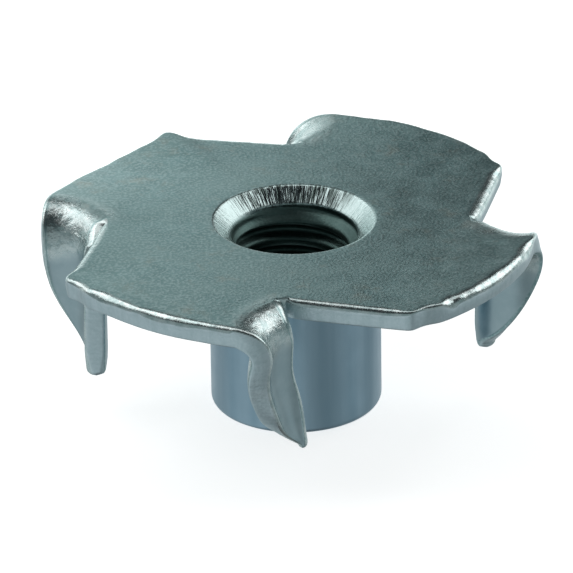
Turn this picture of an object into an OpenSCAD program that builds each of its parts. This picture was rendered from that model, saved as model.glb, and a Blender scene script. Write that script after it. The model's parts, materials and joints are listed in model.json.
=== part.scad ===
// Four-prong tee nut, stamped and deep-drawn from one disc of sheet steel.
// The origin is the middle of the barrel's foot and +Z runs up the bore, so
// the flat flange is on top, and the barrel and the prongs point down.

/* [Flange] */
// Diameter of the round flange across its rim
flange_d = 15; // [13.5:0.5:20]
// Thickness of the sheet that the whole nut is made from
sheet_t = 0.65; // [0.5:0.05:0.8]
// Rounding that the punch leaves on the upper edge of the rim
rim_roll = 0.15; // [0.05:0.05:0.3]
// Rounding that shearing leaves on the upper edge of the four cuts
cut_roll = 0.25; // [0.1:0.05:0.4]

/* [Barrel] */
// Height from the barrel's foot to the top of the flange
nut_h = 6; // [5.5:0.5:12]
// Outside diameter of the barrel
barrel_d = 5.2; // [4.8:0.1:6]
// Diameter of the bore at the crests of its thread
bore_d = 3.3; // [2.6:0.05:3.6]
// How far the formed crests stand in from the drawn wall of the hole
crest_rise = 0.22; // [0.1:0.01:0.3]
// Radius of the drawn curve that leads from the flange down into the hole
mouth_r = 0.75; // [0.5:0.05:0.95]
// Fillet between the barrel and the underside of the flange
root_r = 0.3; // [0.1:0.05:0.6]
// Rounding around the outside of the barrel's foot
foot_r = 0.25; // [0.1:0.05:0.4]

/* [Notches] */
// Number of notches, and of the prongs that are folded down out of them
prong_n = 4; // [2:2:4]
// Diameter of the circle through the inner corners of the notches
notch_d = 11.2; // [10:0.1:12]
// Angle round the rim from an inner corner to the end of its cut
cut_span = 29; // [24:1:36]
// Width of the shallow scallop at the end of each cut
scallop_w = 0.9; // [0.7:0.1:1.4]
// Depth of that scallop
scallop_depth = 0.15; // [0.05:0.05:0.3]

/* [Prongs] */
// Depth of the prong tips below the top of the flange
prong_depth = 4.6; // [3.8:0.1:8]
// Inside radius of the fold at the root of each prong
fold_r = 0.2; // [0.1:0.05:0.4]
// Angle round the rim from an inner corner back to the start of its fold
fold_span = 11; // [10:0.5:16]
// Direction at the inner corner in which the curved fold is hollow
fold_turn = 20; // [12:1:26]
// How far the prong's inner edge stands back from the inner corner
edge_back = 0.2; // [0.05:0.05:0.4]
// Slant of the prong's inner edge
edge_slant = 3; // [0:0.5:6]
// How far the prong's shoulder stands out past the rim
shoulder = 0.1; // [0.02:0.02:0.2]
// Radius of the rounded tip
tip_r = 0.3; // [0.2:0.05:0.4]

/* [Hidden] */
$fn = 96;

rim_r = flange_d / 2;
barrel_r = barrel_d / 2;
bore_r = bore_d / 2;
drawn_r = bore_r + crest_rise; // the hole as drawn, before its thread was formed
mouth_rim_r = drawn_r + mouth_r;
flange_z = nut_h - sheet_t;
far = 3 * flange_d; // past everything, for the cutting shapes
spare = 1; // how far the cutting shapes run past the faces that they cut

// Circle that leaves a scallop of the given width and depth in the rim.
scallop_r = (pow(scallop_w / 2, 2) + pow(scallop_depth, 2)) / (2 * scallop_depth);
scallop_at = cut_span + degrees_of(scallop_w / 2, rim_r);

// Inner corner, end of the cut and start of the fold, for the notch at angle 0.
corner = [notch_d / 2, 0];
cut_end = rim_r * [cos(cut_span), sin(cut_span)];
fold_end = rim_r * [cos(fold_span), -sin(fold_span)];
cut_length = norm(cut_end - corner);
cut_dir = (cut_end - corner) / cut_length;
cut_angle = atan2(cut_dir.y, cut_dir.x);

// The fold runs along an arc from the inner corner to the rim, so the prong
// under it is a gutter about an upright axis that stands just off the rim.
turn_dir = [cos(fold_turn), sin(fold_turn)];
chord = fold_end - corner;
notch_r = chord * chord / (2 * chord * turn_dir);
gutter = corner + notch_r * turn_dir;

// The fold starts a little inside and below the flange's top, so that the two overlap.
lap = 0.05;
drop = 0.002;
fold_line_r = notch_r + lap;
bend_r = fold_r + sheet_t; // outside radius of the fold
wall_r = fold_line_r - bend_r; // hollow face of the prong
wall_mid_r = wall_r + sheet_t / 2;

function degrees_of(length, r) = length / r * 180 / PI;

// Angles of the prong's edges about the gutter's axis, at one radius or depth.
function inner_edge(r, depth) =
    180 + fold_turn + asin((edge_back - depth * tan(edge_slant)) / r);
function shoulder_edge(r) =
    360 - fold_span - acos((rim_r + shoulder - gutter * fold_end / rim_r) / r);

// Unrolled, the outer edge is a circular arc. It starts upright under the
// bend and ends on the outer side of the round tip.
tip_up = prong_depth - tip_r;
tip_angle = inner_edge(wall_mid_r, tip_up) + degrees_of(tip_r, wall_mid_r);
edge_start = shoulder_edge(wall_mid_r);
edge_in = (edge_start - tip_angle) * PI / 180 * wall_mid_r - tip_r;
edge_down = tip_up - bend_r;
edge_r = (pow(edge_in, 2) + pow(edge_down, 2)) / (2 * edge_in);
function outer_edge(depth) =
    edge_start - degrees_of(edge_r - sqrt(pow(edge_r, 2) - pow(depth - bend_r, 2)), wall_mid_r);

// Rows across the folded sheet, from the root inside the flange to the tip:
// [upper radius, upper z, lower radius, lower z, inner edge, outer edge].
function seat_row(r, inset) =
    [r, -inset, r, inset - sheet_t,
    inner_edge(r, 0) + degrees_of(0.05, r), shoulder_edge(r) - degrees_of(0.6, r)];
function bend_row(turn) =
    let (mid_r = fold_line_r - (bend_r + fold_r) / 2 * sin(turn))
    [fold_line_r - bend_r * sin(turn), -bend_r * (1 - cos(turn)),
    fold_line_r - fold_r * sin(turn), -bend_r + fold_r * cos(turn),
    inner_edge(mid_r, bend_r * (1 - cos(turn))), shoulder_edge(mid_r)];
function wall_row(depth) =
    [wall_r, -depth, wall_r + sheet_t, -depth, inner_edge(wall_mid_r, depth), outer_edge(depth)];
function tip_row(turn) =
    let (z = -tip_up - tip_r * sin(turn), half = degrees_of(tip_r * cos(turn), wall_mid_r))
    [wall_r, z, wall_r + sheet_t, z, tip_angle - half, tip_angle + half];

wall_rows = 8;
prong_rows = concat(
    [seat_row(fold_line_r + 0.3, 0.15)],
    [for (turn = [0 : 15 : 90]) bend_row(turn)],
    [for (i = [1 : wall_rows]) wall_row(bend_r + edge_down * i / wall_rows)],
    [for (turn = [25 : 25 : 75]) tip_row(turn)]);

// Square corner less a quarter circle, for rounding an edge.
module corner_waste(r) {
    difference() {
        square(r + 0.1);
        circle(r);
    }
}

// Round plate with its rolled upper edge.
module disc() {
    translate([0, 0, flange_z]) rotate_extrude() difference() {
        square([rim_r, sheet_t]);
        translate([rim_r - rim_roll, sheet_t - rim_roll]) corner_waste(rim_roll);
    }
}

// Opening that one cut and one fold leave in the plate.
module notch() {
    translate([0, 0, flange_z - spare]) linear_extrude(sheet_t + 2 * spare) {
        polygon([corner, corner + far * cut_dir, [far, gutter.y], gutter]);
        intersection() {
            translate(gutter) circle(notch_r);
            translate(corner) rotate((fold_turn + cut_angle) / 2)
                translate([-far, -far]) square([2 * far, far]);
        }
    }
}

// Shallow bite out of the rim at the end of the cut.
module scallop() {
    rotate(scallop_at) translate([rim_r + scallop_r - scallop_depth, 0, flange_z - spare])
        cylinder(r = scallop_r, h = sheet_t + 2 * spare);
}

// Rolled upper edge of one cut.
module cut_rounding() {
    translate([corner.x, corner.y, nut_h]) rotate(cut_angle) rotate([90, 0, 90])
        translate([cut_roll, -cut_roll, 0]) linear_extrude(cut_length + spare)
            rotate(90) corner_waste(cut_roll);
}

module flange() {
    difference() {
        difference() {
            disc();
            around() {
                notch();
                scallop();
            }
        }
        around() cut_rounding();
    }
}

// Folded sheet of one prong, skinned row by row.
module prong() {
    across = 8;
    last = len(prong_rows) - 1;
    side = across + 1; // points on one side of a row
    points = [for (row = prong_rows, k = [0, 2], i = [0 : across])
        let (angle = row[4] + (row[5] - row[4]) * i / across)
        [row[k] * cos(angle), row[k] * sin(angle), row[k + 1]]];
    function quad(a, b, c, d) = [[a, c, b], [a, d, c]];
    upper = [for (j = [0 : last - 1], i = [0 : across - 1]) let (a = 2 * side * j + i)
        each quad(a, a + 1, a + 2 * side + 1, a + 2 * side)];
    lower = [for (j = [0 : last - 1], i = [0 : across - 1]) let (a = 2 * side * j + side + i)
        each quad(a, a + 2 * side, a + 2 * side + 1, a + 1)];
    edges = [for (j = [0 : last - 1]) let (a = 2 * side * j, b = a + across)
        each concat(quad(a, a + 2 * side, a + 3 * side, a + side),
            quad(b, b + side, b + 3 * side, b + 2 * side))];
    ends = [for (i = [0 : across - 1]) let (b = 2 * side * last + i)
        each concat(quad(i, i + side, i + side + 1, i + 1),
            quad(b, b + 1, b + side + 1, b + side))];
    translate([gutter.x, gutter.y, nut_h - drop])
        polyhedron(points, concat(upper, lower, edges, ends));
}

// Barrel with its rounded foot and the fillet under the flange.
module barrel() {
    rotate_extrude() difference() {
        square([barrel_r, nut_h]);
        translate([barrel_r - foot_r, foot_r]) rotate(-90) corner_waste(foot_r);
    }
    translate([0, 0, flange_z - root_r]) rotate_extrude() difference() {
        square([barrel_r + root_r, root_r + 0.1]);
        translate([barrel_r + root_r, 0]) circle(root_r);
    }
}

// Threaded hole, the slope of its first crest, and its drawn mouth.
module bore() {
    translate([0, 0, -spare]) cylinder(r = bore_r, h = nut_h + 2 * spare);
    translate([0, 0, nut_h - mouth_r - crest_rise])
        cylinder(r1 = bore_r, r2 = drawn_r, h = crest_rise);
    translate([0, 0, nut_h - mouth_r]) rotate_extrude() difference() {
        square([mouth_rim_r, mouth_r + spare]);
        translate([mouth_rim_r, 0]) circle(mouth_r);
    }
}

// Copies of the children, one for each notch.
module around() {
    for (i = [0 : prong_n - 1]) rotate(i * 360 / prong_n) children();
}

module tee_nut() color([0.50, 0.58, 0.60]) difference() {
    union() {
        flange();
        barrel();
        around() prong();
    }
    bore();
}

tee_nut();
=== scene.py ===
"""Looks of the stamped tee nut: one sheet-metal skin with its thread, rolled edges and finish.

The sizes are the nut's own, in millimetres, and the mesh is scaled to metres when it is made.
"""
import json
import math
from dataclasses import dataclass
from types import SimpleNamespace

import bmesh
import bpy
import numpy as np
from mathutils import Matrix, Vector
from mathutils.geometry import delaunay_2d_cdt


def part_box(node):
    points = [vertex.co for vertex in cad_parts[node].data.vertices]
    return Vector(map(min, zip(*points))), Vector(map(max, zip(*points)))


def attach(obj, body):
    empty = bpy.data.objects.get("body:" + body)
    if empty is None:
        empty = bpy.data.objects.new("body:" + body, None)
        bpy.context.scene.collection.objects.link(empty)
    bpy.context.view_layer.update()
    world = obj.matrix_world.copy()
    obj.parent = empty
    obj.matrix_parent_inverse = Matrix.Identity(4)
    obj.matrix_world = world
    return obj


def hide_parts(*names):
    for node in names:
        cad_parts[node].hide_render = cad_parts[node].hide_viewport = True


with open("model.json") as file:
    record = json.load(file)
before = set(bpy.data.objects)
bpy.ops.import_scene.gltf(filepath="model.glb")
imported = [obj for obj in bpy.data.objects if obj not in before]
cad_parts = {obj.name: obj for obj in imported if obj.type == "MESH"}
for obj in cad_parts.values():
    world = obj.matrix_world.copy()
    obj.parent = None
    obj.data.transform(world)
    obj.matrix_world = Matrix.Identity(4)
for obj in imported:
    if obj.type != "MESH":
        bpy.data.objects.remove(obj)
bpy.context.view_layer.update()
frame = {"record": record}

# ---------------------------------------------------------------- sizes, in the nut's millimetres

MM = 0.001
MOUNTS = {mount["name"]: mount for mount in frame["record"]["mounts"]}
TOP_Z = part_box("tee_nut")[1].z / MM
UNDER_Z = MOUNTS["flange_underside"]["pos_m"][2] / MM
SHEET_T = TOP_Z - UNDER_Z
BARREL_R = MOUNTS["barrel"]["dims"]["r_mm"]
CREST_R = MOUNTS["thread"]["dims"]["r_mm"]

RIM_R = 7.5
ROOT_R = 0.3  # fillet between the barrel and the flange's underside
FOOT_R = 0.25  # rounding around the outside of the barrel's foot
CREST_RISE = 0.22  # how far the formed crests stand in from the drawn wall of the hole
DRAWN_R = CREST_R + CREST_RISE
MOUTH_RIM_R = 2.53
CONE_ANGLE = math.radians(42)  # slope of the drawn funnel below the flange's top
LIP_R = 0.2  # rounding from the flange into the funnel
THROAT_R = 0.3  # rounding from the funnel into the hole

PITCH = 0.7
GROOVE_R = 1.97  # root of the thread
FOOT_BORE_R = GROOVE_R + 0.08  # end of the bevel in the barrel's foot
FIRST_TURN_DEPTH = 0.85  # below the flange's top
CREST_AT = TOP_Z - FIRST_TURN_DEPTH - PITCH / 4  # height of one crest at angle 0
CREST_SHARE = 0.25  # share of the pitch that a crest takes
GROOVE_SHARE = 0.15  # share of the pitch that the root of the groove takes

NOTCH_R = 5.6  # distance of a notch's inner corner from the nut's axis
SCALLOP_W = 0.9
SCALLOP_DEPTH = 0.15
SWELL_ANGLE = 0.16  # radians of rim over which it swells out to a shoulder

FOLD_LEAD = 0.3  # how far inside the notch's corner the fold starts
FOLD_R = 0.2  # inside radius of the fold
BEND_R = FOLD_R + SHEET_T
BEND_LENGTH = (FOLD_R + SHEET_T / 2) * math.pi / 2  # down the middle of the sheet
FLARE_SHARE = 0.8  # share of a prong's width over which its flare fades out
LAP_SPEED = 1.6  # how many times faster than the bend turns its inner edge is carried on
SHOULDER_BULGE = 0.1  # how far the outer edge stands out half way round the bend
WAIST_AT = 2.0  # depth of a prong's waist below the flange's top
WAIST_LENGTH = 0.8
TIP_R = 0.3
TIP_END = 78  # degrees round a tip at which its last row lies
TIP_THINNING = 0.12  # share of the sheet's thickness that is lost at a tip
TIP_TAPER = 0.9  # length over which a tip thins and its edges get rounder


def direction(angle):
    return np.array([math.cos(angle), math.sin(angle)])


@dataclass
class Prong:
    """One prong with its notch, and how its stamping differs from the next one's.

    Its plan is drawn for a notch at angle 0. The curved fold is an arc about the gutter's upright
    axis, and s is the distance down the middle of the sheet from the fold line.
    """
    notch: float  # direction of its notch in degrees
    depth: float  # of the tip below the flange's top
    corner_r: float = NOTCH_R  # distance of the notch's corner from the nut's axis
    fold_span: float = 11  # degrees from the notch's corner back to the start of the fold
    cut_span: float = 29  # degrees from the notch's corner to the end of the cut
    shoulder: float = 0.1  # how far its outer edge stands past the rim
    turn: float = 12  # direction in degrees in which the curved fold is hollow, at its start
    flare: float = 0.0  # how much wider the bend is at the outer edge than at the inner one
    back: float = 0.1  # how far its inner edge stands back from the start of the fold
    slant: float = 2  # of that edge in degrees
    lap: float = 0.0  # how far the bend carries that edge on towards the cut
    fullness: float = 0.0  # swell of the outer edge half way down
    sway: float = 0.0  # swell of the outer edge above that, and hollow below it
    swing: float = 0.0  # how far the wall at the outer edge swings out above that, and in below it
    waist: float = 0.0  # hollow of the inner edge, under the bend
    tip_r: float = TIP_R
    cut_roll: float = 0.34  # width of the rolled edge along the cut
    rim_roll: float = 0.15  # width of the rolled edge on the rim after the cut

    def __post_init__(self):
        self.corner = self.corner_r * direction(0)
        self.cut_end = RIM_R * direction(math.radians(self.cut_span))
        self.fold_end = RIM_R * direction(-math.radians(self.fold_span))
        fold_start = self.corner - FOLD_LEAD * direction(0)
        chord = self.fold_end - fold_start
        hollow = direction(math.radians(self.turn))
        self.line_r = chord @ chord / (2 * chord @ hollow)
        self.gutter = fold_start + self.line_r * hollow
        self.wall_mid_r = self.line_r - BEND_R + SHEET_T / 2

    def inner_angle(self, r, depth):
        """Angle of the inner edge about the gutter's axis."""
        across = self.back - depth * math.tan(math.radians(self.slant))
        return math.pi + math.radians(self.turn) + np.arcsin(across / r)

    def shoulder_angle(self, r):
        """Angle of the outer edge in the bend."""
        reach = RIM_R + self.shoulder - self.gutter @ self.fold_end / RIM_R
        return 2 * math.pi - math.radians(self.fold_span) - np.arccos(reach / r)

    def on_fold(self, s, h, flare):
        """Radius about the gutter and height, at s down the sheet and h under its face."""
        turn = np.clip(s / BEND_LENGTH, 0, 1) * math.pi / 2
        bend_r = BEND_R + flare
        r = self.line_r + flare - (bend_r - h) * np.sin(turn)
        fall = (self.depth - bend_r) / (self.depth - BEND_R)
        z = -bend_r + (bend_r - h) * np.cos(turn) - np.maximum(s - BEND_LENGTH, 0) * fall
        return r, z

    def points(self, angle, s, h, across):
        """Points of the folded sheet at angles about the gutter's axis. Across is 0 at the outer edge."""
        tip_s = BEND_LENGTH + self.depth - BEND_R
        outer_share = 1 - smooth(across / FLARE_SHARE)
        h = h + (SHEET_T / 2 - h) * TIP_THINNING * smooth((s - tip_s) / TIP_TAPER + 1)
        r, z = self.on_fold(s, h, self.flare * outer_share)
        down = np.clip((s - BEND_LENGTH / 2) / (tip_s - BEND_LENGTH / 2), 0, 1)
        r = r + self.swing * outer_share * np.sin(2 * math.pi * down)
        x = self.gutter[0] + r * np.cos(angle)
        y = self.gutter[1] + r * np.sin(angle)
        return self.turned(np.stack([x, y, TOP_Z + z + 0 * x], -1))

    def turned(self, points):
        """Turns points drawn for a notch at angle 0 to the prong's own notch."""
        turn = math.radians(self.notch)
        out = np.array(points, float)
        x, y = out[..., 0].copy(), out[..., 1].copy()
        out[..., 0] = x * math.cos(turn) - y * math.sin(turn)
        out[..., 1] = x * math.sin(turn) + y * math.cos(turn)
        return out


RIGHT = Prong(notch=0, depth=4.36, fold_span=8.5, shoulder=0.03, flare=0.5, fullness=-0.25, tip_r=0.24)
BACK = Prong(notch=90, depth=4.6, fold_span=6, turn=22, cut_span=32, flare=0.45)
LEFT = Prong(notch=180, depth=4.76, corner_r=5.8, turn=14, lap=0.7, flare=0.5, shoulder=0.14, back=0.04,
             fullness=0.06, tip_r=0.24, slant=3, rim_roll=0.22)
FRONT = Prong(notch=270, depth=4.7, cut_span=28, flare=0.35, back=0.3, slant=7, fullness=-0.1, sway=-0.1,
              swing=0.14, waist=0.2, tip_r=0.16, cut_roll=0.2, rim_roll=0.28)
PRONGS = [RIGHT, BACK, LEFT, FRONT]

# ---------------------------------------------------------------- mesh density

ACROSS = 28  # columns across a prong
BEND_ROWS = 14
WALL_ROWS = 30
TIP_ROWS = 8
SHOULDER_PASSES = 24  # how often a prong's outer edge is rounded off
OUTLINE_STEP = 0.02  # along the flange's outline while its corners are rounded
OUTLINE_PASSES = 150  # how often they are rounded off
EDGE_STEP = 0.1  # along the flange's outline in the mesh
TOP_STEP = 0.13  # between points of the flange's top
UNDER_STEP = 0.25  # between points of its underside
STEP_JITTER = 0.12  # share of that step by which a point strays
BORDER_GAP = 0.55  # share of that step that is kept clear beside the border
AROUND = 240  # columns round the barrel and the bore
TURN_ROWS = 12  # rows in one turn of the thread
LIP_ROWS = 8
CONE_ROWS = 10
THROAT_ROWS = 10
FILLET_ROWS = 8  # rows round the foot's rounding and the root's fillet
WELD = 1e-7  # metres within which two points are made one

rng = np.random.default_rng(11)

# ---------------------------------------------------------------- outlines


def prong_sides(prong):
    """Outer and inner edge from the fold line to the tip, as (angle, s)."""
    tip_r, wall_r = prong.tip_r, prong.wall_mid_r
    tip_up = prong.depth - tip_r
    s = np.concatenate([
        np.linspace(0, BEND_LENGTH, BEND_ROWS + 1),
        BEND_LENGTH + np.linspace(0, tip_up - BEND_R, WALL_ROWS + 1)[1:]])
    r_mid, depth = prong.on_fold(s, SHEET_T / 2, 0)[0], -prong.on_fold(s, 0, 0)[1]
    r_outer = prong.on_fold(s, SHEET_T / 2, prong.flare)[0]
    waist = np.exp(-((depth - WAIST_AT) / WAIST_LENGTH)**2)
    inner = prong.inner_angle(r_mid, depth) + prong.waist / r_mid * waist
    inner -= prong.lap / r_mid * smooth(LAP_SPEED * s / BEND_LENGTH)
    tip_angle = inner[-1] + tip_r / wall_r

    start = prong.shoulder_angle(wall_r)
    run_in = (start - tip_angle) * wall_r - tip_r
    run_down = tip_up - BEND_R
    edge_r = (run_in**2 + run_down**2) / (2 * run_in)
    down = np.clip(depth - BEND_R, 0, None)
    sweep = edge_r - np.sqrt(edge_r**2 - down**2)
    at = math.pi * down / run_down
    swell = prong.fullness * np.sin(at) + prong.sway * np.sin(2 * at)
    bend = prong.shoulder_angle(r_outer) + SHOULDER_BULGE / r_outer * np.sin(math.pi * s / BEND_LENGTH)
    outer = np.where(s <= BEND_LENGTH, bend, start - (sweep - swell) / wall_r)
    outer = soften(outer, SHOULDER_PASSES)

    turn = np.radians(np.linspace(0, TIP_END, TIP_ROWS + 1)[1:])
    half = tip_r * np.cos(turn) / wall_r
    s_tip = s[-1] + tip_r * np.sin(turn)
    outer_side = np.stack([np.append(outer, tip_angle + half), np.append(s, s_tip)], -1)
    inner_side = np.stack([np.append(inner, tip_angle - half), np.append(s, s_tip)], -1)
    return outer_side, inner_side


def across_scale(prong, side):
    """Millimetres for each unit of (angle, s) along a prong's edge."""
    r_mid = prong.on_fold(side[:, 1], SHEET_T / 2, 0)[0]
    return np.stack([r_mid, np.ones_like(r_mid)], -1)


def side_normals(prong, side, sign):
    """Directions into the sheet from a prong's edge, as (across, down)."""
    along = np.gradient(side, axis=0) * across_scale(prong, side)
    normal = sign * np.stack([along[:, 1], -along[:, 0]], -1)
    return normal / np.linalg.norm(normal, axis=1, keepdims=True)


def resample(points, step):
    """Even steps along a polyline, ends kept."""
    length = np.append(0, np.cumsum(np.linalg.norm(np.diff(points, axis=0), axis=1)))
    count = max(2, round(length[-1] / step))
    at = np.linspace(0, length[-1], count + 1)
    return np.stack([np.interp(at, length, points[:, k]) for k in (0, 1)], -1)


def soften(points, passes):
    """Rounds the corners of a polyline, ends kept."""
    for _ in range(passes):
        points[1:-1] = (points[:-2] + 2 * points[1:-1] + points[2:]) / 4
    return points


def arc(centre, r, start, end, count=40):
    """Points along a circular arc, from angle to angle."""
    at = np.linspace(start, end, count)
    return centre + r * np.stack([np.cos(at), np.sin(at)], -1)


def scallop(cut_angle):
    """Shallow bite out of the rim that starts at the end of a cut, in plan."""
    half = SCALLOP_W / 2
    r = (half**2 + SCALLOP_DEPTH**2) / (2 * SCALLOP_DEPTH)
    middle = cut_angle + half / RIM_R
    open_half = math.asin(half / r)
    centre = (RIM_R + r - SCALLOP_DEPTH) * direction(middle)
    return arc(centre, r, middle + math.pi + open_half, middle + math.pi - open_half)


def rim_to_shoulder(start_angle, next_prong, count=160):
    """Rim from a scallop to where the next prong's shoulder starts, in plan."""
    end_r = next_prong.line_r + next_prong.flare
    end = next_prong.gutter + end_r * direction(float(next_prong.shoulder_angle(end_r)))
    end_angle = math.atan2(end[1], end[0]) + 2 * math.pi / len(PRONGS)
    at = np.linspace(start_angle, end_angle, count)[1:]
    swell = next_prong.shoulder * smooth((at - end_angle + SWELL_ANGLE) / SWELL_ANGLE)
    rim = (RIM_R + swell)[:, None] * np.stack([np.cos(at), np.sin(at)], -1)
    rim[-1] = np.linalg.norm(end) * direction(end_angle)
    return rim


def free_edge(prong, next_prong):
    """Flange's outline from a prong's inner edge to the next prong's shoulder, in plan."""
    first = float(prong.inner_angle(prong.line_r, 0))
    root = [prong.gutter + prong.line_r * direction(first)]
    cut = [prong.corner, prong.cut_end]
    cut_angle = math.radians(prong.cut_span)
    rim = rim_to_shoulder(cut_angle + SCALLOP_W / RIM_R, next_prong)
    outline = np.concatenate([root, cut, scallop(cut_angle)[1:], rim])
    return resample(soften(resample(outline, OUTLINE_STEP), OUTLINE_PASSES), EDGE_STEP)


def smooth(x):
    """Smooth step from 0 to 1."""
    x = np.clip(x, 0, 1)
    return x * x * (3 - 2 * x)


def window(x, start, rise, end, fall):
    """1 between start and end, with a smooth step inside each of them."""
    return smooth((x - start) / rise) * (1 - smooth((x - end + fall) / fall))


def plan_normals(points):
    """Directions into the flange from its outline, which runs anticlockwise."""
    along = np.gradient(points, axis=0)
    normal = np.stack([-along[:, 1], along[:, 0]], -1)
    return normal / np.linalg.norm(normal, axis=1, keepdims=True)


# ---------------------------------------------------------------- sheared and rolled edge

BURR_R = 0.06
TIP_BURR = 0.1  # how much larger that rounding is at a prong's tip
UNDER_MARGIN = 0.04  # strip of the lower face beside the burr
TIP_MARGIN = 0.01  # the same at a prong's tip
ROLL_TURNS = np.radians(np.linspace(0, 90, 8))
BAND = np.array([0.2, 0.4, 0.6, 0.8])  # rows of the edge between the rolled corner and the burr
TORN_FROM = 0.4  # share of that height where the smooth cut ends
LEAN = 0.07  # how far the torn band would lean in over the whole height
BURR_TURNS = np.radians([0, 45, 90])

PLAIN_ROLL = 0.12  # width and drop of the flange's rolled edge where it is smallest
CUT_ROLL_FALL = 0.7  # drop for each millimetre of width along a cut
RIM_ROLL_FALL = 0.85  # the same along the rim
RAGGED = 0.2  # share by which the rolled edge grows and shrinks along itself
RAGGED_LIMIT = 0.35
RAGGED_STEPS = 2  # blur of that, in steps along the edge
CUT_CALM = 0.85  # share of it that is missing along a cut
RIM_ROLL_START = 1.1  # how far past a cut's end the rim's own roll starts

PRONG_ROLL = 0.1  # width and drop of the rolled edge of a prong
TIP_ROLL_SHARE = 0.75  # width at the tip as a share of the tip's radius
TIP_DROP = 0.18  # how much deeper the rolled edge is at the tip
ROOT_END = 0.4  # share of the bend at which the large rolled edge of its root starts to fade
ROOT_ROLL = 0.25  # how much wider the inner edge is rolled at the root
ROOT_DROP = 0.3  # how much deeper


def edge_profile(width, drop, burr=BURR_R, margin=UNDER_MARGIN):
    """Rows across the edge, as (how far inside the outline, how far under the upper face).

    Below the rolled corner stands the smooth cut band, then the torn band, which leans in to the burr.
    """
    even = 0 * width  # gives each row the shape of width
    rows = [(width * (1 - math.sin(a)), drop * (1 - math.cos(a))) for a in ROLL_TURNS]
    rest = SHEET_T - burr - drop
    rows += [(LEAN * max(f - TORN_FROM, 0) + even, drop + f * rest) for f in BAND]
    foot = LEAN * (1 - TORN_FROM)
    for a in BURR_TURNS:
        rows.append((foot + burr * (1 - math.cos(a)) + even, SHEET_T - burr * (1 - math.sin(a)) + even))
    rows.append((foot + burr + margin + even, SHEET_T + even))
    return rows


PROFILE_ROWS = len(edge_profile(PLAIN_ROLL, PLAIN_ROLL))


def rough_line(count, size, blur):
    """Closed line of seeded noise, blurred over some steps."""
    line = rng.normal(0, 1, count)
    kernel = np.exp(-0.5 * (np.arange(-3 * blur, 3 * blur + 1) / blur)**2)
    line = np.convolve(np.concatenate([line, line, line]), kernel / np.sqrt((kernel**2).sum()), "same")
    return size * line[count:2 * count]


# ---------------------------------------------------------------- mesh assembly


class Skin:
    """Points and faces of the nut, with what each point's surface went through."""
    marks = ("drawn", "rolled", "hollow", "mouth", "sheared", "threaded", "tubular")

    def __init__(self):
        self.points, self.quads, self.triangles = [], [], []
        self.values = {name: [] for name in self.marks}
        self.grain = []
        self.count = 0

    def add(self, points, grain=None, **values):
        """Adds points in any array shape and returns their numbers in that shape."""
        flat = np.reshape(points, (-1, 3))
        ids = np.arange(self.count, self.count + len(flat)).reshape(np.shape(points)[:-1])
        self.points.append(flat)
        self.grain.append(flat if grain is None else np.reshape(grain, (-1, 3)))
        for name in self.marks:
            value = np.broadcast_to(values.get(name, 0.0), ids.shape)
            self.values[name].append(np.reshape(value, -1))
        self.count += len(flat)
        return ids

    def grid(self, ids, closed=False):
        """Quads over rows and columns of numbers. A closed grid joins its last column to its first."""
        if closed:
            ids = np.concatenate([ids, ids[:, :1]], axis=1)
        quads = np.stack([ids[:-1, :-1], ids[:-1, 1:], ids[1:, 1:], ids[1:, :-1]], -1)
        self.quads.append(quads.reshape(-1, 4))

    def where(self, ids):
        return np.concatenate(self.points)[ids]


def revolve(profile):
    """Rows of points round the axis for a list of (radius, height)."""
    at = np.arange(AROUND) * 2 * math.pi / AROUND
    r, z = np.array(profile).T
    return np.stack([np.outer(r, np.cos(at)), np.outer(r, np.sin(at)), np.outer(z, np.ones(AROUND))], -1)


@dataclass
class Bow:
    """How the flange came off true round one direction when it was stamped, in millimetres at its rim."""
    angle: float
    width: float  # in degrees
    lift: float = 0.0
    reach: float = 0.0


BOWS = [
    Bow(angle=62, width=26, lift=0.17),
    Bow(angle=28, width=16, lift=0.06, reach=-0.06),
    Bow(angle=-28, width=30, lift=0.13),
    Bow(angle=-8, width=9, reach=-0.12),
    Bow(angle=122, width=5, lift=0.16),
    Bow(angle=140, width=16, lift=-0.22, reach=-0.12),
    Bow(angle=170, width=8, lift=0.1),
    Bow(angle=209, width=9, lift=-0.05, reach=0.3),
    Bow(angle=235, width=30, lift=-0.05),
]
TRUE_R = 3  # radius inside which the nut came out true
BOW_LIMIT = 1.2  # share of a bow past which it grows no further
FLANGE_SHIFT = -0.06  # of the flange's middle to the left of the bore's
SHIFT_LENGTH = 1.5  # over which that comes in
CROWN = 0.02  # height to which the drawing pushed the flange up round the mouth
CROWN_WIDTH = 1.1


def off_true(points):
    """Moves points of the flange and the prongs to where the stamping left them."""
    out = np.array(points, float)
    r = np.hypot(out[..., 0], out[..., 1])
    angle = np.degrees(np.arctan2(out[..., 1], out[..., 0]))
    share = np.clip((r - TRUE_R) / (RIM_R - TRUE_R), 0, BOW_LIMIT)
    lift, reach = 0 * r, 0 * r
    for bow in BOWS:
        turn = (angle - bow.angle + 180) % 360 - 180
        weight = np.exp(-(turn / bow.width)**2)
        lift += bow.lift * weight
        reach += bow.reach * weight
    grow = 1 + reach * share**2 / np.maximum(r, 1)
    out[..., 0] = out[..., 0] * grow + FLANGE_SHIFT * smooth((r - TRUE_R) / SHIFT_LENGTH)
    out[..., 1] *= grow
    crown = np.exp(-(np.clip(r - MOUTH_RIM_R, 0, None) / CROWN_WIDTH)**2)
    crown *= smooth((out[..., 2] - UNDER_Z) / SHEET_T)
    out[..., 2] += lift * share**2 + CROWN * crown
    return out


@dataclass
class Quadrant:
    """One prong and the free edge of the flange that follows it."""
    prong: Prong
    outer: np.ndarray  # the prong's two edges, as (angle, s)
    inner: np.ndarray
    outer_in: np.ndarray  # directions into the sheet along them
    inner_in: np.ndarray
    edge: np.ndarray  # the flange's outline in plan
    edge_in: np.ndarray  # directions into the flange along it
    size: int = 0  # points round the quadrant
    start: int = 0  # place of the first of them in a row of the whole edge


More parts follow.
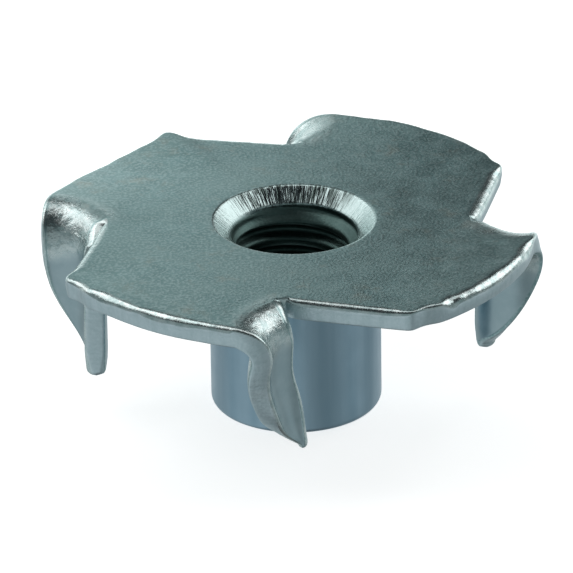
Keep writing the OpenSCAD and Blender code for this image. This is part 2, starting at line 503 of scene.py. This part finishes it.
def lay_out():
    """Outlines and inward directions of the four quadrants."""
    made = []
    start = 0
    for k, prong in enumerate(PRONGS):
        outer, inner = prong_sides(prong)
        edge = free_edge(prong, PRONGS[(k + 1) % len(PRONGS)])
        edge_in = plan_normals(edge)
        q = Quadrant(prong, outer, inner, side_normals(prong, outer, -1), side_normals(prong, inner, 1),
                     prong.turned(edge[1:-1]), prong.turned(edge_in[1:-1]))
        q.inner_in[0] = direction(math.radians(-45))  # half way between the prong's way in and the flange's
        q.size = 2 * len(outer) + ACROSS - 1 + len(q.edge)
        q.start = start
        start += q.size
        made.append(q)
    return made


def roll_sizes(q):
    """Width and drop of the rolled edge along a quadrant's free edge."""
    along = np.arange(1, len(q.edge) + 1) * EDGE_STEP
    cut_length = np.linalg.norm(q.prong.cut_end - q.prong.corner)
    cut = window(along, start=0.05, rise=0.4, end=cut_length, fall=0.6)
    rim = window(along, start=cut_length + RIM_ROLL_START, rise=0.8, end=along[-1], fall=0.5)
    more_cut = (q.prong.cut_roll - PLAIN_ROLL) * cut
    more_rim = (q.prong.rim_roll - PLAIN_ROLL) * rim
    width = PLAIN_ROLL + more_cut + more_rim
    drop = PLAIN_ROLL + CUT_ROLL_FALL * more_cut + RIM_ROLL_FALL * more_rim
    rough = rough_line(len(along), RAGGED, RAGGED_STEPS)
    ragged = 1 + np.clip(rough, -RAGGED_LIMIT, RAGGED_LIMIT) * (1 - CUT_CALM * cut)
    return width * ragged, drop * ragged


def prong_profile(q):
    """Edge profile at each point of a prong's outer side, tip and inner side, full and round at the tip."""
    s = np.concatenate([q.outer[:, 1], np.full(ACROSS - 1, q.outer[-1, 1]), q.inner[::-1, 1]])
    tip = smooth((s - s.max()) / TIP_TAPER + 1)
    inner = np.arange(len(s)) >= len(q.outer) + ACROSS - 1
    root = inner * (1 - smooth(s / BEND_LENGTH - ROOT_END))
    width = PRONG_ROLL + (TIP_ROLL_SHARE * q.prong.tip_r - PRONG_ROLL) * tip + ROOT_ROLL * root
    drop = PRONG_ROLL + TIP_DROP * tip + ROOT_DROP * root
    margin = UNDER_MARGIN + (TIP_MARGIN - UNDER_MARGIN) * tip
    return edge_profile(width, drop, BURR_R + TIP_BURR * tip, margin)


def inset_sides(q, d):
    """The two edges of a prong, drawn in by d at each point of its profile, as (angle, s)."""
    count = len(q.outer)
    outer = q.outer + q.outer_in * d[:count, None] / across_scale(q.prong, q.outer)
    inner = q.inner + q.inner_in * d[::-1][:count, None] / across_scale(q.prong, q.inner)
    return outer, inner


def edge_rows(quadrants):
    """Points of the edge all the way round the sheet, row by row from face to face."""
    rows = []
    across = np.linspace(0, 1, ACROSS + 1)[1:-1, None]
    free_profiles = [edge_profile(*roll_sizes(q)) for q in quadrants]
    prong_profiles = [prong_profile(q) for q in quadrants]
    for j in range(PROFILE_ROWS):
        row = []
        for q, on_prong, on_flange in zip(quadrants, prong_profiles, free_profiles):
            d, h = on_prong[j]
            outer, inner = inset_sides(q, d)
            tip = outer[-1] + (inner[-1] - outer[-1]) * across
            side = np.concatenate([outer, tip, inner[::-1]])
            share = np.concatenate([0 * outer[:, 0], across[:, 0], 1 + 0 * inner[:, 0]])
            row.append(q.prong.points(side[:, 0], side[:, 1], h, share))
            flat_d, flat_h = on_flange[j]
            plan = q.edge + q.edge_in * flat_d[:, None]
            row.append(np.column_stack([plan, TOP_Z - flat_h]))
        rows.append(np.concatenate(row))
    rolled = len(ROLL_TURNS) - 1
    sheared = np.array([float(rolled <= j < PROFILE_ROWS - 2) for j in range(PROFILE_ROWS)])
    turned = np.array([float(0 < j <= rolled) for j in range(PROFILE_ROWS)])
    return np.array(rows), sheared, turned


ROLL_STRETCH = 0.4  # how much of a fold's crinkle a rolled edge shows


def add_edge(skin, quadrants):
    """Edge of the sheet all the way round, from one face to the other."""
    points, sheared, turned = edge_rows(quadrants)
    middle = points[len(ROLL_TURNS)]
    along = np.append(0, np.cumsum(np.linalg.norm(np.diff(middle, axis=0), axis=1)))
    down = np.linspace(0, 1, len(points))[:, None] + 0 * along
    grain = np.stack([along + 0 * down, down, 0 * down], -1)
    ids = skin.add(points, grain=grain, sheared=sheared[:, None], rolled=turned[:, None],
                   drawn=ROLL_STRETCH * turned[:, None])
    skin.grid(ids, closed=True)
    return ids


def build_skin():
    """The whole nut: its edge, bore and barrel, and then the two faces between them."""
    skin = Skin()
    quadrants = lay_out()
    edge = add_edge(skin, quadrants)
    mouth = add_bore(skin)
    root = add_barrel(skin)
    for ring, h, hub, step in ((edge[0], 0.0, mouth, TOP_STEP), (edge[-1], SHEET_T, root, UNDER_STEP)):
        border = add_prong_faces(skin, quadrants, ring, h)
        fill_flat(skin, border, hub, TOP_Z - h, step)
    return skin


def fold_mark(s):
    """How much the sheet was stretched, at s down from the fold line."""
    return window(s, start=-0.4, rise=0.8, end=BEND_LENGTH + 0.5, fall=0.5)


MARK_HALF = 0.35  # radians to each side of a fold's middle that are stretched in full
MARK_FADE = 0.5  # radians over which the stretching fades from there
HOLLOW_FROM = 0.7  # share of the bend at which a prong's plain wall starts
HOLLOW_FADE = 0.6
GRAIN_APART = 20  # keeps the grain of one prong apart from the next one's


def fold_marks_on_flange(plan):
    """The same for points of the flat flange, from the nearest fold line."""
    mark = np.zeros(len(plan))
    for prong in PRONGS:
        gutter = prong.turned(np.append(prong.gutter, 0))[:2]
        middle = (prong.inner_angle(prong.line_r, 0) + prong.shoulder_angle(prong.line_r + prong.flare)) / 2
        off = plan - gutter
        angle = np.arctan2(off[:, 1], off[:, 0]) - math.radians(prong.notch) - middle
        angle = np.abs((angle + math.pi) % (2 * math.pi) - math.pi)
        share = 1 - smooth((angle - MARK_HALF) / MARK_FADE)
        s = prong.line_r + prong.flare / 2 - np.hypot(off[:, 0], off[:, 1])
        mark = np.maximum(mark, share * fold_mark(s))
    return mark


def add_prong_faces(skin, quadrants, ring, h):
    """One face of each prong. Returns the border that is left round the flat flange."""
    border = []
    u = np.linspace(0, 1, ACROSS + 1)[None, :, None]
    for q in quadrants:
        n = len(q.outer)
        outer, inner = inset_sides(q, prong_profile(q)[0 if h == 0 else -1][0])
        at = outer[:, None, :] + (inner - outer)[:, None, :] * u
        points = q.prong.points(at[..., 0], at[..., 1], h, u[..., 0])
        around = at[..., 0] * q.prong.wall_mid_r + GRAIN_APART * q.prong.notch
        grain = np.stack([around, at[..., 1], 0 * around], -1)
        ids = np.empty(at.shape[:2], int)
        ids[:, 0] = ring[q.start:q.start + n]
        ids[-1, 1:-1] = ring[q.start + n:q.start + n + ACROSS - 1]
        ids[:, -1] = ring[q.start + n + ACROSS - 1:q.start + 2 * n + ACROSS - 1][::-1]
        down = at[:-1, 1:-1, 1]
        ids[:-1, 1:-1] = skin.add(points[:-1, 1:-1], grain=grain[:-1, 1:-1], drawn=fold_mark(down),
                                  hollow=smooth((down - HOLLOW_FROM * BEND_LENGTH) / HOLLOW_FADE))
        skin.grid(ids)
        border += [ids[0], ring[q.start + 2 * n + ACROSS - 1:q.start + q.size]]
    return np.concatenate(border)


def inside_outline(points, outline):
    """Which points in plan lie inside a closed outline."""
    a, b = outline, np.roll(outline, -1, axis=0)
    x, y = points[:, :1], points[:, 1:2]
    crosses = (a[:, 1] > y) != (b[:, 1] > y)
    rise = np.where(a[:, 1] == b[:, 1], 1, b[:, 1] - a[:, 1])
    at = a[:, 0] + (y - a[:, 1]) * (b[:, 0] - a[:, 0]) / rise
    return (crosses & (x < at)).sum(axis=1) % 2 == 1


def scattered_points(rings, fixed, step):
    """Points in plan between two rings, in equal triangles that are shaken a little."""
    across = np.arange(-RIM_R, RIM_R, step)
    up = np.arange(-RIM_R, RIM_R, step * math.sqrt(0.75))  # height of such a triangle
    x, y = np.meshgrid(across, up)
    x[::2] += step / 2
    inner = np.stack([x.ravel(), y.ravel()], -1)
    inner += rng.uniform(-STEP_JITTER, STEP_JITTER, inner.shape) * step
    inner = inner[inside_outline(inner, rings[0]) & ~inside_outline(inner, rings[1])]
    near = [np.min(np.linalg.norm(fixed - p, axis=1)) for p in inner]
    return inner[np.array(near) > BORDER_GAP * step]


def fill_flat(skin, border, hub, z, step):
    """Flat face of the flange, in even triangles between its border and its hub."""
    rings = [skin.where(border)[:, :2], skin.where(hub)[:, :2]]
    fixed = np.concatenate(rings)
    inner = scattered_points(rings, fixed, step)
    added = skin.add(np.column_stack([inner, np.full(len(inner), z)]), drawn=fold_marks_on_flange(inner))
    ids = np.concatenate([border, hub, added])
    edges = []
    first = 0
    for ring in rings:
        edges += [(first + i, first + (i + 1) % len(ring)) for i in range(len(ring))]
        first += len(ring)
    points = np.concatenate([fixed, inner])
    made = delaunay_2d_cdt([Vector(p) for p in points], edges, [], 0, 1e-6)
    faces, old_points = made[2], made[3]
    source = np.array([olds[0] for olds in old_points])
    triangles = source[np.array(faces)]
    middle = points[triangles].mean(axis=1)
    kept = inside_outline(middle, rings[0]) & ~inside_outline(middle, rings[1])
    skin.triangles += [tuple(t) for t in ids[triangles[kept]]]


def drawn_mouth():
    """Radius and height down the drawn mouth: lip, cone, and the rounding into the hole."""
    lip = np.linspace(0, CONE_ANGLE, LIP_ROWS)
    throat = np.linspace(CONE_ANGLE, math.pi / 2, THROAT_ROWS)
    r = MOUTH_RIM_R - LIP_R * np.sin(lip)
    z = TOP_Z - LIP_R * (1 - np.cos(lip))
    run = r[-1] - DRAWN_R - THROAT_R * (1 - math.sin(CONE_ANGLE))
    cone = np.linspace(0, 1, CONE_ROWS)[1:] * run
    r = np.append(r, r[-1] - cone)
    z = np.append(z, z[-1] - cone * math.tan(CONE_ANGLE))
    r = np.append(r, r[-1] - THROAT_R * (np.sin(throat[1:]) - math.sin(CONE_ANGLE)))
    z = np.append(z, z[-1] - THROAT_R * (math.cos(CONE_ANGLE) - np.cos(throat[1:])))
    return r, z


def bore_radius(at, z):
    """Radius of the threaded hole, with its drawn mouth and the bevel at its foot."""
    phase = np.mod((z - CREST_AT) / PITCH - at / (2 * math.pi) + 0.5, 1) - 0.5
    flank = (np.abs(phase) - CREST_SHARE / 2) / (0.5 - (CREST_SHARE + GROOVE_SHARE) / 2)
    r = CREST_R + (GROOVE_R - CREST_R) * smooth(flank)
    mouth_r, mouth_z = drawn_mouth()
    mouth = np.interp(z, mouth_z[::-1], mouth_r[::-1])
    drawn = mouth + np.clip(z - mouth_z[-1], -DRAWN_R, 0)
    bevel = FOOT_BORE_R - z
    return np.maximum(np.maximum(r, drawn), bevel)


THREAD_GAP = 0.03  # how far outside the groove the mouth's own rows stop
THREAD_FADE = 0.15  # depth over which the mouth's finish gives way to the thread's


def add_bore(skin):
    """Drawn mouth and thread. The thread's rows follow its helix and are cut off level at both ends."""
    r, z = drawn_mouth()
    clear = np.count_nonzero(r > GROOVE_R + THREAD_GAP)
    profile = list(zip(r[:clear], z[:clear]))
    drawn = smooth((MOUTH_RIM_R - r[:clear - 1]) / (0.5 * LIP_R))[:, None]
    mouth = skin.add(revolve(profile)[:-1], mouth=drawn)
    z_high = profile[-1][1]
    rows = int(TURN_ROWS * z_high / PITCH) + TURN_ROWS + 2
    wrap = np.arange(AROUND + 1)
    z = z_high - PITCH * ((np.arange(rows)[:, None] - TURN_ROWS) / TURN_ROWS + wrap[::-1][None] / AROUND)
    z = np.clip(z, 0, z_high)
    angle = wrap[None] * 2 * math.pi / AROUND
    r = bore_radius(angle, z)
    points = np.stack([r * np.cos(angle), r * np.sin(angle), z], -1)
    below = smooth((z_high - z) / THREAD_FADE)
    thread = skin.add(points, threaded=below, mouth=1 - below)
    skin.grid(thread)
    skin.grid(np.concatenate([mouth, thread[:1, :-1]]), closed=True)
    return mouth[0]


def add_barrel(skin):
    """Outside of the barrel, from its bevelled foot to the flange's underside."""
    turns = np.radians(np.linspace(0, 90, FILLET_ROWS))
    foot_r = BARREL_R - FOOT_R
    foot = [(FOOT_BORE_R + (foot_r - FOOT_BORE_R) * f, 0) for f in (0, 0.5)]
    foot += [(foot_r + FOOT_R * math.sin(a), FOOT_R - FOOT_R * math.cos(a)) for a in turns]
    wall = [(BARREL_R, z) for z in np.linspace(FOOT_R, UNDER_Z - ROOT_R, 14)[1:-1]]
    root = [(BARREL_R + ROOT_R - ROOT_R * math.cos(a), UNDER_Z - ROOT_R + ROOT_R * math.sin(a))
            for a in turns]
    ids = skin.add(revolve(foot + wall + root), tubular=1.0)
    skin.grid(ids, closed=True)
    return ids[-1]


def make_object(skin, name):
    """Welds the skin into one closed mesh, in metres."""
    points = off_true(np.concatenate(skin.points))
    mesh = bpy.data.meshes.new(name)
    faces = [tuple(f) for f in np.concatenate(skin.quads)] + [tuple(f) for f in skin.triangles]
    mesh.from_pydata((points * MM).tolist(), [], faces)
    for key, parts in skin.values.items():
        layer = mesh.attributes.new(key, "FLOAT", "POINT")
        layer.data.foreach_set("value", np.concatenate(parts).astype(np.float32))
    layer = mesh.attributes.new("grain", "FLOAT_VECTOR", "POINT")
    layer.data.foreach_set("vector", np.concatenate(skin.grain).astype(np.float32).ravel())
    bm = bmesh.new()
    bm.from_mesh(mesh)
    bmesh.ops.remove_doubles(bm, verts=bm.verts, dist=WELD)
    bmesh.ops.recalc_face_normals(bm, faces=bm.faces)
    open_edges = [e for e in bm.edges if len(e.link_faces) != 2]
    print("skin:", len(bm.verts), "points", len(bm.faces), "faces", len(open_edges), "open edges")
    bm.to_mesh(mesh)
    bm.free()
    mesh.shade_smooth()
    nut = bpy.data.objects.new(name, mesh)
    bpy.context.scene.collection.objects.link(nut)
    return nut


# ---------------------------------------------------------------- shader nodes


def node(tree, kind, inputs=None, **settings):
    """New shader node. An input is either a value or another node's output."""
    made = tree.nodes.new(kind)
    for key, value in settings.items():
        setattr(made, key, value)
    for key, value in (inputs or {}).items():
        if isinstance(value, bpy.types.NodeSocket):
            tree.links.new(value, made.inputs[key])
        else:
            made.inputs[key].default_value = value
    return made


def noise(tree, coords, scale, detail=2, roughness=0.5):
    """Noise from 0 to 1, with scale in features for each unit of its coordinates."""
    inputs = {"Vector": coords, "Scale": scale, "Detail": detail, "Roughness": roughness}
    return node(tree, "ShaderNodeTexNoise", inputs).outputs["Fac"]


def calc(tree, operation, a, b=0.0):
    return node(tree, "ShaderNodeMath", {0: a, 1: b}, operation=operation).outputs[0]


def multiply(tree, a, b):
    return calc(tree, "MULTIPLY", a, b)


def ramp(tree, value, low, high, to_low=0.0, to_high=1.0):
    """Smooth step from to_low to to_high, as a value goes from low to high."""
    inputs = {"Value": value, "From Min": low, "From Max": high, "To Min": to_low, "To Max": to_high}
    return node(tree, "ShaderNodeMapRange", inputs, interpolation_type="SMOOTHSTEP").outputs["Result"]


def blend(tree, share, a, b):
    """Goes from colour a to colour b as share goes from 0 to 1."""
    inputs = {"Factor": share, "A": a, "B": b}
    return node(tree, "ShaderNodeMix", inputs, data_type="RGBA").outputs["Result"]


def attribute(tree, name, output="Fac"):
    return node(tree, "ShaderNodeAttribute", attribute_name=name).outputs[output]


def stretch(tree, coords, factors):
    """Coordinates times a factor for each axis."""
    return node(tree, "ShaderNodeVectorMath", {0: coords, 1: factors}, operation="MULTIPLY").outputs[0]


def grey(level):
    return (level, level, level, 1)


# ---------------------------------------------------------------- zinc plating

DARK_ZINC = (0.215, 0.34, 0.345, 1)
PALE_ZINC = (0.31, 0.47, 0.475, 1)
CLOUD = (0.30, 0.44, 0.44, 1)
RING = (0.35, 0.49, 0.48, 1)
STAIN = (0.42, 0.44, 0.39, 1)
SPECKLE = (0.60, 0.73, 0.73, 1)
DARK_HOLLOW = (0.39, 0.50, 0.53, 1)
PALE_HOLLOW = (0.47, 0.58, 0.61, 1)
MOUTH = (0.51, 0.62, 0.61, 1)
# Painted highlight on the bends and rolled edges
PRESSED_HIGHLIGHT = (0.70, 0.78, 0.77, 1)
# Near-black painted dark reflection in the scores on the mouth's back wall
DARK_SCORE_REFLECTION = (0.06, 0.09, 0.08, 1)
DARK_BARREL = (0.31, 0.45, 0.54, 1)
PALE_BARREL = (0.39, 0.53, 0.62, 1)
DARK_TORN = (0.60, 0.71, 0.74, 1)
PALE_TORN = (0.70, 0.80, 0.84, 1)
# Near-black painted shade down the threaded bore
THREAD_SHADE = (0.07, 0.12, 0.11, 1)

MOUTH_SHARE = 0.85  # share of the colour below that each of these hides
DARK_SCORE_REFLECTION_SHARE = 0.85
TORN_SHARE = 0.8
THREAD_SHADE_SHARE = 0.92

WORKED_GLOSS = -0.10  # change of roughness where the sheet was bent, rolled or drawn
TORN_ROUGH = 0.08  # the same on the torn edge
THREAD_ROUGH = 0.1  # and in the thread


def round_coords(tree, plan, position, along):
    """Coordinates that change round the axis, and only slowly along it."""
    around = node(tree, "ShaderNodeVectorMath", {0: plan}, operation="NORMALIZE").outputs[0]
    slow = stretch(tree, position, (along, along, along))
    return node(tree, "ShaderNodeVectorMath", {0: around, 1: slow}, operation="ADD").outputs[0]


def ring_coords(tree, plan):
    """Coordinates that change with the distance from the axis, and only slowly round it."""
    radius = node(tree, "ShaderNodeVectorMath", {0: plan}, operation="LENGTH").outputs["Value"]
    out = node(tree, "ShaderNodeCombineXYZ", {"X": radius}).outputs[0]
    slow = stretch(tree, plan, (0.12, 0.12, 0))
    return node(tree, "ShaderNodeVectorMath", {0: out, 1: slow}, operation="ADD").outputs[0]


def zinc_coords(tree):
    """Object position in millimetres, the same in plan, and the mesh's own grain."""
    place = node(tree, "ShaderNodeTexCoord").outputs["Object"]
    position = stretch(tree, place, (1 / MM, 1 / MM, 1 / MM))
    plan = stretch(tree, position, (1, 1, 0))
    return position, plan, attribute(tree, "grain", "Vector")


def zinc_masks(tree):
    """What the surface went through, each from 0 to 1."""
    masks = SimpleNamespace(**{name: attribute(tree, name) for name in Skin.marks})
    masks.pressed = calc(tree, "MAXIMUM", masks.drawn, masks.rolled)
    masks.worked = calc(tree, "MAXIMUM", masks.pressed, masks.mouth)
    return masks


def zinc_patterns(tree):
    """Noises of the finish: over the faces, round the axis and along the torn edge."""
    position, plan, grain = zinc_coords(tree)
    made = SimpleNamespace()
    made.speckle = noise(tree, position, scale=12)
    made.mottle = noise(tree, position, scale=1.6, detail=3, roughness=0.6)
    made.cloud = noise(tree, position, scale=0.35)
    made.rings = noise(tree, ring_coords(tree, plan), scale=1.7, detail=3, roughness=0.6)
    made.stain = noise(tree, position, scale=0.9, detail=4, roughness=0.7)
    made.blotch = noise(tree, position, scale=3.5, detail=3, roughness=0.6)
    made.crinkle = noise(tree, position, scale=5.5, detail=4, roughness=0.65)
    fine, coarse, soft = (round_coords(tree, plan, position, along) for along in (0.05, 0.12, 0.03))
    made.score = noise(tree, fine, scale=24, roughness=0.6)
    made.deep_score = noise(tree, coarse, scale=13, detail=3, roughness=0.6)
    made.soft_streak = noise(tree, soft, scale=4)
    made.tear = noise(tree, stretch(tree, grain, (4, 1.2, 1)), scale=1.2, detail=4, roughness=0.6)
    across_bore = node(tree, "ShaderNodeSeparateXYZ", {0: position}).outputs["Y"]
    # Back side of the mouth: real scoring bumps, and its scores painted near-black as a dark reflection
    made.worn_side = ramp(tree, across_bore, 1.2, 2.1)  # where the punch rubbed the mouth
    return made


def flat_tone(tree, patterns):
    """Colour of the flange's flat faces."""
    tone = blend(tree, ramp(tree, patterns.mottle, 0.3, 0.7), DARK_ZINC, PALE_ZINC)
    layers = ((patterns.cloud, 0.35, 0.7, 0.8, CLOUD),
              (patterns.rings, 0.45, 0.75, 0.4, RING),
              (patterns.stain, 0.55, 0.72, 0.6, STAIN),
              (patterns.speckle, 0.42, 0.66, 0.5, SPECKLE))
    for pattern, low, high, share, color in layers:
        tone = blend(tree, ramp(tree, pattern, low, high, 0, share), tone, color)
    return tone


def zinc_tone(tree, masks, patterns):
    """Colour of the flat faces, under that of the hollows, mouth, painted highlight of the bends and rolled
    edges, painted dark reflection in the mouth's scores, barrel, torn edge and painted shade of the thread.
    """
    hollow = blend(tree, ramp(tree, patterns.mottle, 0.3, 0.7), DARK_HOLLOW, PALE_HOLLOW)
    barrel = blend(tree, ramp(tree, patterns.soft_streak, 0.3, 0.7), DARK_BARREL, PALE_BARREL)
    torn = blend(tree, ramp(tree, patterns.tear, 0.3, 0.7), DARK_TORN, PALE_TORN)
    # Noise that breaks the painted highlight of the bends and rolled edges into flecks
    blotch = ramp(tree, patterns.blotch, 0.38, 0.6, 0.45, 0.95)
    # The mouth's scores, painted near-black on its back side as a dark reflection
    scores_painted_dark = multiply(tree, patterns.worn_side, masks.mouth)
    scores_painted_dark = multiply(tree, ramp(tree, patterns.deep_score, 0.47, 0.58), scores_painted_dark)
    tone = flat_tone(tree, patterns)
    for share, color in ((masks.hollow, hollow),
                         (multiply(tree, masks.mouth, MOUTH_SHARE), MOUTH),
                         (multiply(tree, masks.pressed, blotch), PRESSED_HIGHLIGHT),
                         (multiply(tree, scores_painted_dark, DARK_SCORE_REFLECTION_SHARE), DARK_SCORE_REFLECTION),
                         (masks.tubular, barrel),
                         (multiply(tree, masks.sheared, TORN_SHARE), torn),
                         (multiply(tree, masks.threaded, THREAD_SHADE_SHARE), THREAD_SHADE)):
        tone = blend(tree, share, tone, color)
    return tone


def zinc_roughness(tree, masks, patterns):
    """Satin on the flat faces, glossier where the sheet was worked, duller where it tore."""
    rough = ramp(tree, patterns.mottle, 0.3, 0.7, 0.30, 0.38)
    for mask, change in ((masks.worked, WORKED_GLOSS), (masks.sheared, TORN_ROUGH),
                         (masks.threaded, THREAD_ROUGH)):
        rough = calc(tree, "ADD", rough, multiply(tree, mask, change))
    return rough


def zinc_normal(tree, masks, patterns):
    """Bumps of the finish, from heights in millimetres."""
    smooth_part = calc(tree, "MAXIMUM", masks.tubular, masks.hollow)
    flat = calc(tree, "SUBTRACT", 1.0, calc(tree, "MAXIMUM", masks.worked, smooth_part))
    worn = multiply(tree, masks.mouth, ramp(tree, patterns.worn_side, 0, 1, 0.4, 1))
    height = multiply(tree, patterns.speckle, 0.002)
    for pattern, mask, depth in ((patterns.speckle, flat, 0.007),
                                 (patterns.mottle, flat, 0.006),
                                 (patterns.crinkle, masks.drawn, 0.03),
                                 (patterns.score, worn, 0.06),
                                 (patterns.tear, masks.sheared, 0.006),
                                 (patterns.soft_streak, masks.tubular, 0.002)):
        height = calc(tree, "ADD", height, multiply(tree, multiply(tree, pattern, mask), depth))
    bump = {"Height": height, "Distance": MM, "Strength": 1.0}
    return node(tree, "ShaderNodeBump", bump).outputs["Normal"]


def zinc_plating():
    """Satin blue-passivated zinc: speckled flat faces, crinkled bends, scored mouth, torn edges; with a
    painted highlight on the bends and rolled edges, a painted dark reflection in the mouth's scores and
    painted shade in the thread.
    """
    material = bpy.data.materials.new("zinc_plating")
    material.use_nodes = True
    tree = material.node_tree
    shader = tree.nodes["Principled BSDF"]
    masks, patterns = zinc_masks(tree), zinc_patterns(tree)
    tree.links.new(zinc_tone(tree, masks, patterns), shader.inputs["Base Color"])
    tree.links.new(zinc_roughness(tree, masks, patterns), shader.inputs["Roughness"])
    tree.links.new(zinc_normal(tree, masks, patterns), shader.inputs["Normal"])
    shader.inputs["Metallic"].default_value = 1
    return material


# ---------------------------------------------------------------- stage


def add_floor():
    """Pale floor that glows a little. The metal mirrors the world's lower half in its place."""
    bpy.ops.mesh.primitive_plane_add(size=3, location=(0, 0, 0))
    floor = bpy.context.object
    floor.name = "floor"
    material = bpy.data.materials.new("pale_floor")
    material.use_nodes = True
    shader = material.node_tree.nodes["Principled BSDF"]
    shader.inputs["Base Color"].default_value = grey(0.85)
    shader.inputs["Roughness"].default_value = 0.9
    shader.inputs["Specular IOR Level"].default_value = 0.1
    shader.inputs["Emission Color"].default_value = grey(1)
    shader.inputs["Emission Strength"].default_value = 0.75
    floor.data.materials.append(material)
    floor.visible_glossy = False


def add_softbox(name, azimuth, elevation, distance, size, radiance, color=(1, 1, 1)):
    """Area light that faces the nut. Azimuth 0 is on the camera's side and 90 is to its right."""
    a, e = math.radians(azimuth), math.radians(elevation)
    place = distance * Vector((math.sin(a) * math.cos(e), -math.cos(a) * math.cos(e), math.sin(e)))
    data = bpy.data.lights.new(name, "AREA")
    data.shape = "RECTANGLE"
    data.size, data.size_y = size
    data.energy = radiance * math.pi * size[0] * size[1]
    data.color = color
    light = bpy.data.objects.new(name, data)
    light.location = place
    light.rotation_euler = (-place).to_track_quat("-Z", "Y").to_euler()
    light.visible_camera = False
    bpy.context.scene.collection.objects.link(light)


FRONT_HIGH = (0.025, 0.03, 0.033, 1)
FRONT_LOW = (0.27, 0.32, 0.33, 1)
WALL_HIGH = (0.036, 0.043, 0.046, 1)
WALL_LOW = (0.068, 0.083, 0.084, 1)
GLOW_LEFT = (1.25, 1.35, 1.35, 1)
GLOW_RIGHT = (0.75, 0.83, 0.83, 1)
TABLE = (0.25, 0.285, 0.295, 1)
TABLE_SIDES = (0.50, 0.56, 0.58, 1)
TABLE_BACK = (0.55, 0.6, 0.61, 1)
TABLE_HORIZON = (1.1, 1.2, 1.2, 1)
TABLE_BELOW = (0.1, 0.11, 0.115, 1)


def room_color(tree, right, ahead, up):
    """Upper half: dark walls, a grey front low down, and a glow low down at the back."""
    wall = blend(tree, ramp(tree, up, 0.70, 0.25), WALL_HIGH, WALL_LOW)
    front = blend(tree, ramp(tree, up, 0.66, 0.34), FRONT_HIGH, FRONT_LOW)
    room = blend(tree, ramp(tree, ahead, -0.45, 0.25), front, wall)
    glow = blend(tree, ramp(tree, right, -0.5, 0.5), GLOW_LEFT, GLOW_RIGHT)
    glow_share = multiply(tree, ramp(tree, up, 0.24, 0.09), ramp(tree, ahead, 0.1, 0.7))
    return blend(tree, glow_share, room, glow)


def table_color(tree, right, ahead, up):
    """Lower half: a table, pale towards the horizon at the back and at the sides, and dark right below."""
    side = ramp(tree, calc(tree, "ABSOLUTE", calc(tree, "SUBTRACT", right, 0.5)), 0.1, 0.6)
    side = multiply(tree, side, ramp(tree, ahead, 0.6, 0.05, 0.15))
    near = blend(tree, side, TABLE, TABLE_SIDES)
    far = blend(tree, ramp(tree, up, -0.40, -0.2), TABLE_BACK, TABLE_HORIZON)
    table = blend(tree, ramp(tree, ahead, 0.3, 0.9), near, far)
    return blend(tree, ramp(tree, up, -0.85, -1.0), table, TABLE_BELOW)


def add_world():
    """Studio all round the nut: a room over a table, whose edge lies lower at the front."""
    world = bpy.data.worlds.new("studio")
    bpy.context.scene.world = world
    world.use_nodes = True
    tree = world.node_tree
    way = node(tree, "ShaderNodeTexCoord").outputs["Generated"]
    parts = node(tree, "ShaderNodeSeparateXYZ", {0: way})
    right, ahead, up = parts.outputs["X"], parts.outputs["Y"], parts.outputs["Z"]
    edge = calc(tree, "ADD", up, ramp(tree, ahead, 0.1, -0.3, 0, 0.2))
    room, table = room_color(tree, right, ahead, up), table_color(tree, right, ahead, up)
    color = blend(tree, ramp(tree, edge, 0.0, -0.08), room, table)
    back = tree.nodes["Background"]
    tree.links.new(color, back.inputs["Color"])
    back.inputs["Strength"].default_value = 1.0


CAMERA_ELEVATION = math.radians(25.9)
CAMERA_DISTANCE = 207  # in the nut's millimetres
CAMERA_LENS = 431
SENSOR_WIDTH = 36
CAMERA_ROLL = math.radians(-0.8)
AIM_RIGHT = -0.26  # of the middle of the flange's top, to where the camera points
AIM_UP = -2.03  # the same upwards in its view


def add_camera():
    """Long lens that looks down on the flange and points a little under its middle."""
    back = Vector((0, -math.cos(CAMERA_ELEVATION), math.sin(CAMERA_ELEVATION)))
    up = Vector((0, math.sin(CAMERA_ELEVATION), math.cos(CAMERA_ELEVATION)))
    middle = Vector((AIM_RIGHT, 0, TOP_Z)) + AIM_UP * up
    data = bpy.data.cameras.new("camera")
    data.lens = CAMERA_LENS
    data.sensor_width = SENSOR_WIDTH
    data.clip_start, data.clip_end = 0.01, 10
    camera = bpy.data.objects.new("camera", data)
    camera.rotation_mode = "QUATERNION"
    roll = Matrix.Rotation(CAMERA_ROLL, 3, "Z").to_quaternion()
    camera.rotation_quaternion = (-back).to_track_quat("-Z", "Y") @ roll
    camera.location = (middle + back * CAMERA_DISTANCE) * MM
    bpy.context.scene.collection.objects.link(camera)
    bpy.context.scene.camera = camera


# ---------------------------------------------------------------- scene

nut = make_object(build_skin(), "nut_skin")
nut.data.materials.append(zinc_plating())
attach(nut, "root")
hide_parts("tee_nut")

add_floor()
add_world()
add_softbox("left_box", azimuth=-112, elevation=42, distance=0.6, size=(0.5, 0.5), radiance=1.35)
add_softbox("right_box", azimuth=120, elevation=32, distance=0.6, size=(0.5, 0.4), radiance=1.6)
add_softbox("top_box", azimuth=180, elevation=78, distance=0.6, size=(0.7, 0.3), radiance=0.9)
add_softbox("near_panel", azimuth=-157, elevation=29, distance=0.055, size=(0.043, 0.035), radiance=0.53,
            color=(0.88, 1, 1))
add_camera()
bpy.context.scene.view_settings.view_transform = "Standard"
